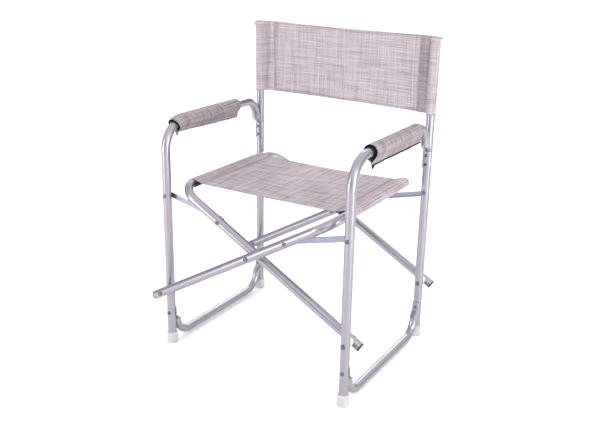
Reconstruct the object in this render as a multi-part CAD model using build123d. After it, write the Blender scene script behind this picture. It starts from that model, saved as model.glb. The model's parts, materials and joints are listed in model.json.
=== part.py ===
"""Folding camp chair: two tube side frames with arms, a crossed pair of seat
frames, four folding links, and a slung canvas seat and back.

Frame: +Z up, the sitter faces -Y, +X is the chair's right in a front view.
The origin is on the floor, under the middle of the chair.

Every tube lies in one of two layers, a tube and a spacer apart in Y.
The right side frame and the right seat frame are in the forward layer, and
the left side frame and the left seat frame are in the rear layer, so the
tubes pass each other when the chair folds.
"""
import os
from math import asin, atan2, cos, degrees, hypot, radians, sin

from build123d import *

# ---- Driving dimensions (mm, degrees) -------------------------------------
TUBE_D = 22.0                # legs, arms, uprights and seat frames
TUBE_WALL = 1.2
BASE_D = 20.0                # floor rails of the side frames
LAYER_GAP = 9.0              # between the tubes of the two layers
HALF_WIDTH = 262.0           # middle of the chair to a leg's axis, open
DEPTH = 416.0                # front leg axis to rear leg axis
PIVOT_Z = 153.0              # lower pivots, above the floor
OPEN_ANGLE = 60.0            # seat frame to the vertical, open
FOLDED_ANGLE = 17.0          # and folded
ARM_Z = 580.0                # arm tube axis
ARM_FRONT_R = 65.0
ARM_REAR_R = 50.0
BACK_TOP_Z = 782.0           # top of the back uprights
LEG_END_Z = 4.0              # leg ends, above the floor, inside the feet

SEAT_REACH = 252.0           # centre pivot to the seat rail's axis
SEAT_BEND_R = 50.0
TAIL = 24.0                  # seat frame past its lower pivot

BASE_Z = 14.0                # axis of the floor rail's run
BASE_BEND_R = 45.0
BASE_ROUND_Z = 60.0          # where the floor rail's ends stop being round
BASE_PRESSED_Z = 74.0        # and where they fit the leg
BASE_TOP_Z = 99.0
BASE_RIVET_Z = 85.0

LINK_REACH = 120.0           # centre pivot to the link's rivet on the seat frame
LINK_W = 13.0
LINK_DEPTH = 5.0
LINK_GAUGE = 1.2
LINK_STAND_OFF = 0.6         # between a tube's side and the link on it

SADDLE_END_Z = 468.0         # lower end of the arm's flattened end
SADDLE_TOP_Z = 512.0
SADDLE_OUTER_R = 13.4
SADDLE_HALF_ANGLE = 72.0
SADDLE_CORNER_R = 9.0        # rounded corners of a pressed end
SADDLE_RIVETS_Z = (502.0, 479.0)

PIVOT_RIVET_R = 3.0
PIVOT_HEAD_R = 6.0
SMALL_RIVET_R = 2.5
SMALL_HEAD_R = 5.0
SADDLE_HEAD_R = 4.5
HEAD_H = 2.4
RUNNING_GAP = 0.1
FIT_GAP = 0.05
PART_GAP = 0.3

FOOT_R = 14.0
FOOT_H = 30.0
FOOT_ROUND = 3.0

PAD_Y = {"right": (-141.0, 112.0), "left": (-157.0, 106.0)}
FOAM_R = 16.8
COVER_R = 17.8
COVER_FIN = 7.0
COVER_FIN_T = 3.0
COVER_FIN_LEAN = 20.0        # degrees, out from straight down
COVER_FIN_ROOT = 0.5         # the fin's overlap with the cover

CLOTH_T = 1.0
SEAT_SLEEVE_HALF = 157.0     # half the seat canvas along a rail
SEAT_SKEW = 0.8              # share of the layers' offset that the canvas follows
BACK_Z = (603.0, 790.0)
SLEEVE_PLAY = 0.35           # between a tube and the canvas sleeve on it

# ---- Derived --------------------------------------------------------------
TUBE_R = TUBE_D / 2
BASE_R = BASE_D / 2
LAYER = (TUBE_D + LAYER_GAP) / 2             # each layer's offset in Y
LOWER_REACH = HALF_WIDTH / sin(radians(OPEN_ANGLE))  # centre pivot to lower pivot
CENTRE_Z = PIVOT_Z + LOWER_REACH * cos(radians(OPEN_ANGLE))
BOTH_COSINES = cos(radians(OPEN_ANGLE)) + cos(radians(FOLDED_ANGLE))
LINK_PIN_Z = PIVOT_Z + 2 * LOWER_REACH * LINK_REACH * BOTH_COSINES / (LOWER_REACH + LINK_REACH)


def link_line(angle):
    """The link's length and slope, from its leg pin in to its seat frame rivet."""
    across = (LOWER_REACH - LINK_REACH) * sin(radians(angle))
    up = PIVOT_Z + (LOWER_REACH + LINK_REACH) * cos(radians(angle)) - LINK_PIN_Z
    return hypot(across, up), degrees(atan2(up, across))


LINK_LENGTH, LINK_OPEN = link_line(OPEN_ANGLE)
LINK_FOLDED = link_line(FOLDED_ANGLE)[1]
FOLD = OPEN_ANGLE - FOLDED_ANGLE

FRAMES = {"right": (1, -LAYER), "left": (-1, LAYER)}   # side: sign of X, layer's Y


# ---- Shapes used more than once -------------------------------------------
def rod(x, z, y0, y1, radius):
    """A cylinder along Y."""
    return Pos(x, (y0 + y1) / 2, z) * Rot(90, 0, 0) * Cylinder(radius, abs(y1 - y0))


def head(x, z, y, towards, radius):
    """A rivet's domed head that stands on y and points along Y."""
    dome = Cylinder(radius, HEAD_H, align=(Align.CENTER, Align.CENTER, Align.MIN))
    dome = fillet(dome.edges().sort_by(Axis.Z)[-1:], HEAD_H * 0.8)
    return Pos(x, y, z) * Rot(-90 * towards, 0, 0) * dome


def rivet(x, z, y0, y1, radius, head_radius):
    """A rivet along Y, with a head outside each end of its grip."""
    body = rod(x, z, y0 - HEAD_H / 2, y1 + HEAD_H / 2, radius)
    return body + head(x, z, y0, -1, head_radius) + head(x, z, y1, 1, head_radius)


def bent_tube(points, radii, diameter):
    """A tube that follows straight runs joined by bends."""
    path = FilletPolyline(*points, radius=radii)
    ring = Circle(diameter / 2) - Circle(diameter / 2 - TUBE_WALL)
    return sweep((path ^ 0) * ring, path=path)


def sleeve(inner, outer, length):
    """A plain ring along Z, centred."""
    return Cylinder(outer, length) - Cylinder(inner, length)


def saddle_spacer(x, z, tube_y, towards, tilt):
    """Half of a pivot's spacer: one end fits a tube's side, the other is flat."""
    middle = tube_y + towards * (TUBE_R + LAYER_GAP / 2 - RUNNING_GAP)
    radius = TUBE_R - 2
    body = rod(x, z, tube_y + towards * (TUBE_R - 4), middle, radius)
    body -= Pos(x, tube_y, z) * Rot(0, tilt, 0) * Cylinder(TUBE_R + FIT_GAP, 4 * TUBE_D)
    return body - rod(x, z, tube_y, middle + towards, PIVOT_RIVET_R + FIT_GAP)


# ---- Side frames ----------------------------------------------------------
def saddle_section(z, blend, radius, tube_y):
    """Outline of a tube's end: round at blend 0, pressed round an upright at the origin at 1."""
    arc = SADDLE_HALF_ANGLE
    inner = TUBE_R + RUNNING_GAP
    outer = SADDLE_OUTER_R
    middle = (inner + outer) / 2

    def at(round_angle, bent_radius, bent_angle):
        a, b = radians(round_angle), radians(bent_angle)
        round_point = (radius * sin(a), tube_y - radius * cos(a))
        bent_point = (bent_radius * sin(b), -bent_radius * cos(b))
        return tuple(p * (1 - blend) + q * blend for p, q in zip(round_point, bent_point)) + (z,)

    left_out, out, right_out = at(-80, outer, -arc), at(0, outer, 0), at(80, outer, arc)
    right_in, back, left_in = at(100, inner, arc), at(180, inner, 0), at(-100, inner, -arc)
    edges = [ThreePointArc(left_out, out, right_out)]
    edges.append(ThreePointArc(right_out, at(90, middle, arc + 3), right_in))
    edges.append(ThreePointArc(right_in, back, left_in))
    edges.append(ThreePointArc(left_in, at(-90, middle, -arc - 3), left_out))
    return make_face(edges)


def pressed_end(round_z, pressed_z, end_z, radius):
    """A tube's end pressed to fit the -Y side of an upright at the origin."""
    towards = 1 if end_z > pressed_z else -1
    tube_y = -(TUBE_R + radius + PART_GAP)
    fitted = saddle_section(pressed_z, 1, radius, tube_y)
    press = loft([saddle_section(round_z, 0, radius, tube_y), fitted])
    grip = extrude(fitted, abs(end_z - pressed_z), dir=(0, 0, towards))
    height = 4 * abs(end_z - round_z)
    outline = RectangleRounded(2 * SADDLE_OUTER_R, height, SADDLE_CORNER_R)
    outline = Pos(0, 0, end_z - towards * height / 2) * Rot(90, 0, 0) * outline
    return (press + grip) & extrude(outline, 2 * TUBE_D, both=True)


def arm_tube(x, front_y, rear_y):
    """Front leg, arm and the rear end that is pressed against the upright."""
    down_y = rear_y - TUBE_D - PART_GAP
    round_z = ARM_Z - ARM_REAR_R - 2
    points = [(x, front_y, LEG_END_Z), (x, front_y, ARM_Z), (x, down_y, ARM_Z), (x, down_y, round_z)]
    tube = bent_tube(points, [ARM_FRONT_R, ARM_REAR_R], TUBE_D)
    tube += Pos(x, rear_y, 0) * pressed_end(round_z, SADDLE_TOP_Z, SADDLE_END_Z, TUBE_R)
    for z in SADDLE_RIVETS_Z:
        tube -= rod(x, z, rear_y - TUBE_D, rear_y, SMALL_RIVET_R + FIT_GAP)
    tube -= rod(x, PIVOT_Z, front_y - TUBE_D, front_y + TUBE_D, PIVOT_RIVET_R + RUNNING_GAP)
    for z in (LINK_PIN_Z, BASE_RIVET_Z):
        tube -= rod(x, z, front_y - TUBE_D, front_y + TUBE_D, SMALL_RIVET_R + RUNNING_GAP)
    return tube


def back_upright(x, rear_y):
    """One straight tube: rear leg below, back post above."""
    height = BACK_TOP_Z - LEG_END_Z
    tube = Pos(x, rear_y, LEG_END_Z + height / 2) * sleeve(TUBE_R - TUBE_WALL, TUBE_R, height)
    tube -= rod(x, PIVOT_Z, rear_y - TUBE_D, rear_y + TUBE_D, PIVOT_RIVET_R + RUNNING_GAP)
    for z in (LINK_PIN_Z, BASE_RIVET_Z, *SADDLE_RIVETS_Z):
        tube -= rod(x, z, rear_y - TUBE_D, rear_y + TUBE_D, SMALL_RIVET_R + RUNNING_GAP)
    return tube


def base_tube(x, front_y, rear_y):
    """Floor rail: a shallow U, with its ends pressed against the legs of one side."""
    nest = TUBE_R + BASE_R + PART_GAP
    y0, y1 = front_y + nest, rear_y - nest
    points = [(x, y0, BASE_ROUND_Z), (x, y0, BASE_Z), (x, y1, BASE_Z), (x, y1, BASE_ROUND_Z)]
    tube = bent_tube(points, [BASE_BEND_R, BASE_BEND_R], BASE_D)
    end = pressed_end(BASE_ROUND_Z, BASE_PRESSED_Z, BASE_TOP_Z, BASE_R)
    tube += Pos(x, front_y, 0) * Rot(0, 0, 180) * end
    tube += Pos(x, rear_y, 0) * end
    tube -= rod(x, BASE_RIVET_Z, front_y, rear_y, SMALL_RIVET_R + RUNNING_GAP)
    return tube


def foot(x, y):
    """A moulded foot pushed over a leg's end."""
    cap = Pos(0, 0, FOOT_H / 2) * Cylinder(FOOT_R, FOOT_H)
    cap = fillet(cap.edges().filter_by(GeomType.CIRCLE), FOOT_ROUND)
    bore_h = FOOT_H - LEG_END_Z
    cap -= Pos(0, 0, LEG_END_Z + bore_h / 2) * Cylinder(TUBE_R + FIT_GAP, bore_h)
    return Pos(x, y, 0) * cap


def upright_plug(x, rear_y):
    """Rounded plug in an upright's open top."""
    stem = Pos(0, 0, -6) * Cylinder(TUBE_R - TUBE_WALL - FIT_GAP, 12)
    cap = Cylinder(TUBE_R, 4, align=(Align.CENTER, Align.CENTER, Align.MIN))
    cap = fillet(cap.edges().sort_by(Axis.Z)[-1:], 3)
    return Pos(x, rear_y, BACK_TOP_Z + FIT_GAP) * (cap + stem)


def arm_ring(x, bend_y, y0, y1, inner, outer):
    """A ring on the arm tube, from y1 forward to y0, round the front bend if it gets there."""
    straight_y = max(y0, bend_y)
    ring = Pos(x, (straight_y + y1) / 2, ARM_Z) * Rot(90, 0, 0) * sleeve(inner, outer, y1 - straight_y)
    if y0 < bend_y:
        section = Pos(x, bend_y, ARM_Z) * Rot(90, 0, 0) * (Circle(outer) - Circle(inner))
        turn = degrees(asin((bend_y - y0) / ARM_FRONT_R))
        ring += revolve(section, Axis((x, bend_y, ARM_Z - ARM_FRONT_R), (1, 0, 0)), turn)
    return ring


def arm_foam(x, bend_y, y0, y1):
    """Foam tube on the arm."""
    return arm_ring(x, bend_y, y0, y1, TUBE_R + FIT_GAP, FOAM_R)


def arm_cover(x, bend_y, y0, y1):
    """Cloth round the foam, with its two edges joined in a fin below, out from the chair."""
    cover = arm_ring(x, bend_y, y0, y1, FOAM_R + FIT_GAP, COVER_R)
    front = max(y0, bend_y)
    length = y1 - front
    fin = Box(COVER_FIN_T, length, COVER_FIN + COVER_FIN_ROOT, align=(Align.CENTER, Align.CENTER, Align.MAX))
    fin = Pos(0, 0, COVER_FIN_ROOT - COVER_R) * fin
    lean = -COVER_FIN_LEAN if x > 0 else COVER_FIN_LEAN
    return cover + Pos(x, front + length / 2, ARM_Z) * Rot(0, lean, 0) * fin


def side_rivets(x, front_y, rear_y):
    """Rivets of the arm's rear end and of the floor rail."""
    before, behind = rear_y - SADDLE_OUTER_R, rear_y + TUBE_R
    rivets = [rivet(x, z, before, behind, SMALL_RIVET_R, SADDLE_HEAD_R) for z in SADDLE_RIVETS_Z]
    rivets.append(rivet(x, BASE_RIVET_Z, before, behind, SMALL_RIVET_R, SMALL_HEAD_R))
    inside = front_y + SADDLE_OUTER_R
    rivets.append(rivet(x, BASE_RIVET_Z, front_y - TUBE_R, inside, SMALL_RIVET_R, SMALL_HEAD_R))
    return rivets


def link_pins(x, front_y, rear_y):
    """Rivets that hold the links to the legs, with the link on the chair's inner side."""
    reach = TUBE_R + LINK_STAND_OFF + LINK_GAUGE + RUNNING_GAP
    front = rivet(x, LINK_PIN_Z, front_y - TUBE_R, front_y + reach, SMALL_RIVET_R, SMALL_HEAD_R)
    rear = rivet(x, LINK_PIN_Z, rear_y - reach, rear_y + TUBE_R, SMALL_RIVET_R, SMALL_HEAD_R)
    return [front, rear]


def pivot_rivets(x, z):
    """Front and rear rivets through both layers of tube."""
    grip = LAYER + TUBE_R + RUNNING_GAP
    return [rivet(x, z, y - grip, y + grip, PIVOT_RIVET_R, PIVOT_HEAD_R) for y in (-DEPTH / 2, DEPTH / 2)]


def side_frame(side):
    """All the rigid nodes of one side frame."""
    sign, layer = FRAMES[side]
    x = sign * HALF_WIDTH
    front_y, rear_y = -DEPTH / 2 + layer, DEPTH / 2 + layer
    inward = 1 if layer < 0 else -1
    pad = (x, front_y + ARM_FRONT_R, *PAD_Y[side])
    return {
        f"{side}_arm_tube": arm_tube(x, front_y, rear_y),
        f"{side}_back_upright": back_upright(x, rear_y),
        f"{side}_base_tube": base_tube(x, front_y, rear_y),
        f"{side}_front_foot": foot(x, front_y),
        f"{side}_rear_foot": foot(x, rear_y),
        f"{side}_upright_plug": upright_plug(x, rear_y),
        f"{side}_arm_foam": arm_foam(*pad),
        f"{side}_arm_cover": arm_cover(*pad),
        f"{side}_frame_rivets": side_rivets(x, front_y, rear_y),
        f"{side}_link_pins": link_pins(x, front_y, rear_y),
        f"{side}_leg_spacers": [saddle_spacer(x, PIVOT_Z, y, inward, 0) for y in (front_y, rear_y)],
        f"{side}_pivot_rivets": pivot_rivets(x, PIVOT_Z),
    }


# ---- Crossed seat frames --------------------------------------------------
def on_seat_frame(sign, reach):
    """The X and Z of a point on a seat frame, by its distance above the centre pivot."""
    return sign * reach * sin(radians(OPEN_ANGLE)), CENTRE_Z + reach * cos(radians(OPEN_ANGLE))


def seat_frame_tube(sign, layer):
    """A long U: two legs of the cross, joined by the seat rail at the top."""
    y0, y1 = -DEPTH / 2 + layer, DEPTH / 2 + layer
    low = -(LOWER_REACH + TAIL)
    points = [(0, y0, low), (0, y0, SEAT_REACH), (0, y1, SEAT_REACH), (0, y1, low)]
    tube = bent_tube(points, [SEAT_BEND_R, SEAT_BEND_R], TUBE_D)
    tube = Pos(0, 0, CENTRE_Z) * Rot(0, sign * OPEN_ANGLE, 0) * tube
    for reach, radius in ((-LOWER_REACH, PIVOT_RIVET_R), (0, PIVOT_RIVET_R), (LINK_REACH, SMALL_RIVET_R)):
        x, z = on_seat_frame(sign, reach)
        tube -= rod(x, z, y0 - TUBE_D, y1 + TUBE_D, radius + RUNNING_GAP)
    return tube


def tail_plugs(sign, layer):
    """Plugs in the lower ends of a seat frame."""
    plug = Pos(0, 0, 5) * Cylinder(TUBE_R - TUBE_WALL - FIT_GAP, 12)
    plug += Pos(0, 0, -1.5 - FIT_GAP) * Cylinder(TUBE_R, 3)
    place = Pos(0, 0, CENTRE_Z) * Rot(0, sign * OPEN_ANGLE, 0) * Pos(0, 0, -(LOWER_REACH + TAIL))
    return [Pos(0, y + layer, 0) * place * plug for y in (-DEPTH / 2, DEPTH / 2)]


def seat_frame_spacers(sign, layer):
    """Half spacers at the centre pivots and at the lower pivots."""
    inward = 1 if layer < 0 else -1
    found = []
    for reach in (0, -LOWER_REACH):
        x, z = on_seat_frame(sign, reach)
        for y in (-DEPTH / 2, DEPTH / 2):
            found.append(saddle_spacer(x, z, y + layer, inward, sign * OPEN_ANGLE))
    return found


def link_studs(sign, layer):
    """Rivets in a seat frame, flush on the side where the link turns on them."""
    x, z = on_seat_frame(sign, LINK_REACH)
    found = []
    for y, inner in ((-DEPTH / 2 + layer, 1), (DEPTH / 2 + layer, -1)):
        outside = y - inner * TUBE_R
        body = rod(x, z, outside - inner, y + inner * TUBE_R, SMALL_RIVET_R)
        found.append(body + head(x, z, outside, -inner, SMALL_HEAD_R))
    return found


def seat_frame(side):
    """All the rigid nodes of one seat frame."""
    sign, layer = FRAMES[side]
    return {
        f"{side}_seat_frame": seat_frame_tube(sign, layer),
        f"{side}_tail_plugs": tail_plugs(sign, layer),
        f"{side}_seat_frame_spacers": seat_frame_spacers(sign, layer),
        f"{side}_link_studs": link_studs(sign, layer),
    }


# ---- Folding links --------------------------------------------------------
def link(side, inner):
    """A channel from a leg to a seat frame; inner is +1 on a front leg, -1 on a rear leg."""
    sign, layer = FRAMES[side]
    half = LINK_LENGTH / 2
    web = extrude(SlotCenterToCenter(LINK_LENGTH, LINK_W), LINK_GAUGE)
    web -= Pos(-half, 0, 0) * Cylinder(SMALL_RIVET_R + RUNNING_GAP, 4 * LINK_GAUGE)
    flange = Box(LINK_LENGTH - LINK_W, LINK_GAUGE, LINK_DEPTH, align=(Align.CENTER, Align.MAX, Align.MIN))
    flange = Pos(0, LINK_W / 2, 0) * flange
    web += flange + mirror(flange, Plane.XZ)
    button = head(0, 0, 0, 1, SMALL_HEAD_R)
    web += Pos(half, 0, LINK_GAUGE) * Rot(90, 0, 0) * button
    # The web lies on Y, its flanges point to the chair's inner side, and its first end is on the leg
    channel = Rot(-90 * inner, 0, 0) * web
    if sign > 0:
        channel = Rot(0, 180, 0) * mirror(channel, Plane.XY)
    slope = LINK_OPEN * sign
    middle_x = sign * (HALF_WIDTH - half * cos(radians(LINK_OPEN)))
    middle_z = LINK_PIN_Z + half * sin(radians(LINK_OPEN))
    y = -inner * DEPTH / 2 + layer + inner * (TUBE_R + LINK_STAND_OFF)
    return Pos(middle_x, y, middle_z) * Rot(0, slope, 0) * channel


# ---- Canvas ---------------------------------------------------------------
def seat_canvas():
    """Seat: a sheet between the rails, with a sleeve round each."""
    rail_x, rail_z = on_seat_frame(1, SEAT_REACH)
    inner = TUBE_R + SLEEVE_PLAY
    length = 2 * SEAT_SLEEVE_HALF
    skew = LAYER * SEAT_SKEW
    ring = Rot(90, 0, 0) * sleeve(inner, inner + CLOTH_T, length)
    canvas = Pos(-rail_x, skew, rail_z) * ring + Pos(rail_x, -skew, rail_z) * ring
    edge = rail_x - inner - CLOTH_T / 2
    half = SEAT_SLEEVE_HALF
    corners = [(-edge, skew - half), (edge, -skew - half), (edge, half - skew), (-edge, half + skew)]
    sheet = Pos(0, 0, rail_z - CLOTH_T / 2) * extrude(make_face(Polyline(*corners, close=True)), CLOTH_T)
    return canvas + sheet


def back_canvas():
    """Back: a sheet between the uprights, with a sleeve round each."""
    inner = TUBE_R + SLEEVE_PLAY
    z0, z1 = BACK_Z
    rear = DEPTH / 2
    ring = sleeve(inner, inner + CLOTH_T, z1 - z0)
    half = hypot(HALF_WIDTH, LAYER) - inner - CLOTH_T / 2
    canvas = Rot(0, 0, -degrees(asin(LAYER / HALF_WIDTH))) * Box(2 * half, CLOTH_T, z1 - z0)
    canvas += Pos(HALF_WIDTH, -LAYER, 0) * ring
    canvas += Pos(-HALF_WIDTH, LAYER, 0) * ring
    return Pos(0, rear, (z0 + z1) / 2) * canvas


# ---- Write ----------------------------------------------------------------
def nodes():
    """Every sub-component, by name."""
    found = {}
    for side in FRAMES:
        found.update(side_frame(side))
        found.update(seat_frame(side))
        found[f"front_{side}_link"] = link(side, 1)
        found[f"rear_{side}_link"] = link(side, -1)
    found["centre_rivets"] = pivot_rivets(0, CENTRE_Z)
    found["seat_canvas"] = seat_canvas()
    found["back_canvas"] = back_canvas()
    return found


def main():
    os.makedirs("parts", exist_ok=True)
    for name, shape in nodes().items():
        solids = shape if isinstance(shape, list) else [shape]
        export_step(Compound([s for piece in solids for s in piece.solids()]), f"parts/{name}.step")
    print("pivot", round(CENTRE_Z, 3), "reach", round(LOWER_REACH, 3), "link pin", round(LINK_PIN_Z, 3))
    print("link", round(LINK_LENGTH, 3), "slope", round(LINK_OPEN, 3), "folded", round(LINK_FOLDED, 3))
    print("link ratio", round((LINK_FOLDED - LINK_OPEN) / FOLD, 5))


if __name__ == "__main__":
    main()
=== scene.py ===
"""Folding camp chair: the cloth, foam and finishes, built around its tube frame.

Units are metres. +Z is up, the sitter faces -Y and +X is the chair's right in a front view.
"""
import json
import math

import bpy
import numpy as np
from bpy.props import FloatProperty, FloatVectorProperty, PointerProperty
from mathutils import Matrix, Vector, noise


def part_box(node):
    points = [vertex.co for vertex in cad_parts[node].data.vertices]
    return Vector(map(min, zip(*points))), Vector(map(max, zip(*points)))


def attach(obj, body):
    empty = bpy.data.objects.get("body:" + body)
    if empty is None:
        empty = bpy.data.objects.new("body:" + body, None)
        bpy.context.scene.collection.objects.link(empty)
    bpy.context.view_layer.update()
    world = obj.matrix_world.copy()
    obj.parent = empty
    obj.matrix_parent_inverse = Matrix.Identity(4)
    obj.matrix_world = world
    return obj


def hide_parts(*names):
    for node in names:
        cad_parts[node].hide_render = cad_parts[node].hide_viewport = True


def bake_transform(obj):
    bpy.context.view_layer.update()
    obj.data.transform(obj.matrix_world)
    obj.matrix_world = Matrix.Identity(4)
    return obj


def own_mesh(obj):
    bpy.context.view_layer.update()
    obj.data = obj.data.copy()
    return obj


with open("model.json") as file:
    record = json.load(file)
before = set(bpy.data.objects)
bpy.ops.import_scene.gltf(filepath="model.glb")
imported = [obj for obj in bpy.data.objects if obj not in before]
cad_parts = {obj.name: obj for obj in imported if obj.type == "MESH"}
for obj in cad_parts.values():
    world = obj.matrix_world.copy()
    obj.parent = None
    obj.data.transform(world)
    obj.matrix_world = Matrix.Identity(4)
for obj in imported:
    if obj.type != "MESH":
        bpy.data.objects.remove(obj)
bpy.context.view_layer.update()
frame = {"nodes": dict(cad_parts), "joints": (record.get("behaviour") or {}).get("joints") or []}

bl_info = {
    "name": "Folding Camp Chair",
    "version": (1, 0, 0),
    "blender": (4, 5, 0),
    "location": "3D View > Sidebar > Camp Chair",
    "description": "Canvas, arm pads, metal finishes and a studio for a folding camp chair",
    "category": "Object",
}

SIDES = {"right": 1, "left": -1}        # each side's sign of X
HEM_COLUMNS = 4                         # columns of points that lie in a turned hem
CORNER_ANGLE = 32.0                     # degrees; sharper edges of the frame stay sharp

FLOOR_REACH = 60.0                      # from the middle of the studio floor to its edge
SKY_COLOUR = (0.93, 0.93, 0.95, 1)
SKY_STRENGTH = 0.60
CEILING_HEIGHT = 7.0
CEILING_SIZE = (26.0, 36.0)
LIGHTS_AIM = (0, 0, 0.45)
SOFT_BOXES = (                          # name, place, size, and the setting that gives its power
    ("key_box", (1.9, -2.3, 1.9), (2.0, 2.0), "key"),
    ("left_strip", (-1.5, -2.3, 0.75), (0.5, 1.4), "fill"),
    ("right_strip", (2.5, -0.6, 0.75), (0.5, 1.4), "fill"),
    ("rear_box", (-1.4, 3.0, 2.1), (1.6, 1.2), "fill"),
)
CAMERA_PLACE = (1.0000, -1.6850, 1.0261)
CAMERA_AZIMUTH, CAMERA_ELEVATION, CAMERA_ROLL = 30.53, 19.10, 1.07      # degrees


# ---- Places read from the frame --------------------------------------------
def middle(node):
    """The middle of a frame node's box."""
    low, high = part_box(node)
    return (low + high) / 2


def joint_point(name):
    """Where a hinge of the frame is."""
    found = next(j for j in frame["joints"] if j["name"] == name)
    return Vector(found["pos_m"])


def upright(side):
    """The axis of a back upright, at floor level, and its radius."""
    low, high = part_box(f"{side}_back_upright")
    return Vector(((low.x + high.x) / 2, (low.y + high.y) / 2, 0)), (high.x - low.x) / 2


def rail(side):
    """The axis of a seat rail at its middle, and the tube's radius."""
    low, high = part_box("seat_canvas")
    sleeve = (high.z - low.z) / 2
    x = low.x + sleeve if side == "left" else high.x - sleeve
    return Vector((x, 0, (low.z + high.z) / 2)), upright(side)[1]


# ---- Settings ---------------------------------------------------------------
class ChairSizes(bpy.types.PropertyGroup):
    cloth: FloatProperty(
        name="Cloth thickness", description="Thickness of the seat, back and arm cloth",
        default=0.0006, min=0.0003, max=0.003, unit="LENGTH")
    yarn: FloatProperty(
        name="Yarn pitch", description="Distance from one yarn of the weave to the next",
        default=0.0019, min=0.0005, max=0.01, unit="LENGTH")
    seat_front: FloatProperty(
        name="Seat front", description="How far the seat cloth reaches forward of the rails' middle",
        default=0.150, min=0.05, max=0.2, unit="LENGTH")
    seat_rear: FloatProperty(
        name="Seat rear", description="How far the seat cloth reaches behind the rails' middle",
        default=0.162, min=0.05, max=0.2, unit="LENGTH")
    seat_seam: FloatProperty(
        name="Seat seam", description="From a seat rail's axis in to the seam of its sleeve",
        default=0.030, min=0.015, max=0.08, unit="LENGTH")
    back_seam: FloatProperty(
        name="Back seam", description="From an upright's axis in to the seam of its sleeve",
        default=0.046, min=0.02, max=0.08, unit="LENGTH")
    hem: FloatProperty(
        name="Hem", description="Width of the turned hems", default=0.009, min=0.003, max=0.03, unit="LENGTH")
    stitch: FloatProperty(
        name="Stitch length", description="Length of one stitch of the seams",
        default=0.0034, min=0.001, max=0.01, unit="LENGTH")
    open_weave: FloatProperty(
        name="Open weave", description="Share of a yarn's pitch that is left open as a hole",
        default=0.40, min=0.0, max=0.9)
    arm_bend: FloatProperty(
        name="Arm bend", description="Radius of the arm's front bend", default=0.065, unit="LENGTH")
    pad_front_right: FloatProperty(
        name="Right pad's front", description="How far forward the right arm pad reaches",
        default=0.141, unit="LENGTH")
    pad_front_left: FloatProperty(
        name="Left pad's front", description="How far forward the left arm pad reaches",
        default=0.157, unit="LENGTH")
    pad_tip: FloatProperty(
        name="Pad tip", description="From the arm's axis to the pad cover's joined edges",
        default=0.0245, min=0.02, max=0.04, unit="LENGTH")
    foam_wall: FloatProperty(
        name="Foam wall", description="Thickness of the foam round the arm tube",
        default=0.0056, min=0.002, max=0.01, unit="LENGTH")


class ChairColours(bpy.types.PropertyGroup):
    metal: FloatVectorProperty(
        name="Tube", description="Drawn aluminium", subtype="COLOR", default=(0.342, 0.32, 0.364))
    zinc: FloatVectorProperty(
        name="Links", description="Zinc plate", subtype="COLOR", default=(0.25, 0.265, 0.325))
    rivet: FloatVectorProperty(
        name="Rivets", description="Rivet heads", subtype="COLOR", default=(0.15, 0.145, 0.165))
    cloth_light: FloatVectorProperty(
        name="Cloth, light yarn", description="The palest yarns", subtype="COLOR", default=(0.66, 0.57, 0.63))
    cloth_dark: FloatVectorProperty(
        name="Cloth, dark yarn", description="The darkest yarns", subtype="COLOR",
        default=(0.25, 0.205, 0.225))
    foam: FloatVectorProperty(
        name="Foam", description="Foam and its edging", subtype="COLOR", default=(0.006, 0.006, 0.007))
    foot: FloatVectorProperty(
        name="Feet", description="Moulded feet", subtype="COLOR", default=(0.47, 0.46, 0.47))
    nylon: FloatVectorProperty(
        name="Spacers", description="Nylon spacers", subtype="COLOR", default=(0.68, 0.68, 0.66))


class StudioSettings(bpy.types.PropertyGroup):
    floor: FloatVectorProperty(
        name="Floor", description="Colour of the studio floor", subtype="COLOR", default=(0.95, 0.95, 0.95))
    lens: FloatProperty(
        name="Lens", description="Focal length on a 36 mm wide frame", default=49.12, unit="CAMERA")
    ceiling: FloatProperty(
        name="Ceiling", description="Power of the wide light overhead", default=2500.0, unit="POWER")
    key: FloatProperty(
        name="Key light", description="Power of the main soft box", default=20.0, unit="POWER")
    fill: FloatProperty(
        name="Fill lights", description="Power of each strip and of the rear box", default=33.0, unit="POWER")


def sizes():
    return bpy.context.scene.chair_sizes


def colours():
    return bpy.context.scene.chair_colours


# ---- Shaders ----------------------------------------------------------------
class Wire:
    """A number that varies over a surface, with arithmetic that adds Math nodes."""

    def __init__(self, graph, socket):
        self.graph, self.socket = graph, socket

    def _join(self, operation, first, second):
        return self.graph.node("ShaderNodeMath", {"operation": operation}, {0: first, 1: second})

    def __add__(self, other):
        return self._join("ADD", self, other)

    def __radd__(self, other):
        return self._join("ADD", other, self)

    def __rsub__(self, other):
        return self._join("SUBTRACT", other, self)

    def __mul__(self, other):
        return self._join("MULTIPLY", self, other)

    def __rmul__(self, other):
        return self._join("MULTIPLY", other, self)

    def __truediv__(self, other):
        return self._join("DIVIDE", self, other)

    def __gt__(self, other):
        return self._join("GREATER_THAN", self, other)

    def __lt__(self, other):
        return self._join("LESS_THAN", self, other)

    def __mod__(self, other):
        return self._join("FLOORED_MODULO", self, other)

    def of(self, operation):
        """A one-input Math operation, such as SINE or ABSOLUTE."""
        return self.graph.node("ShaderNodeMath", {"operation": operation}, {0: self})


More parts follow.
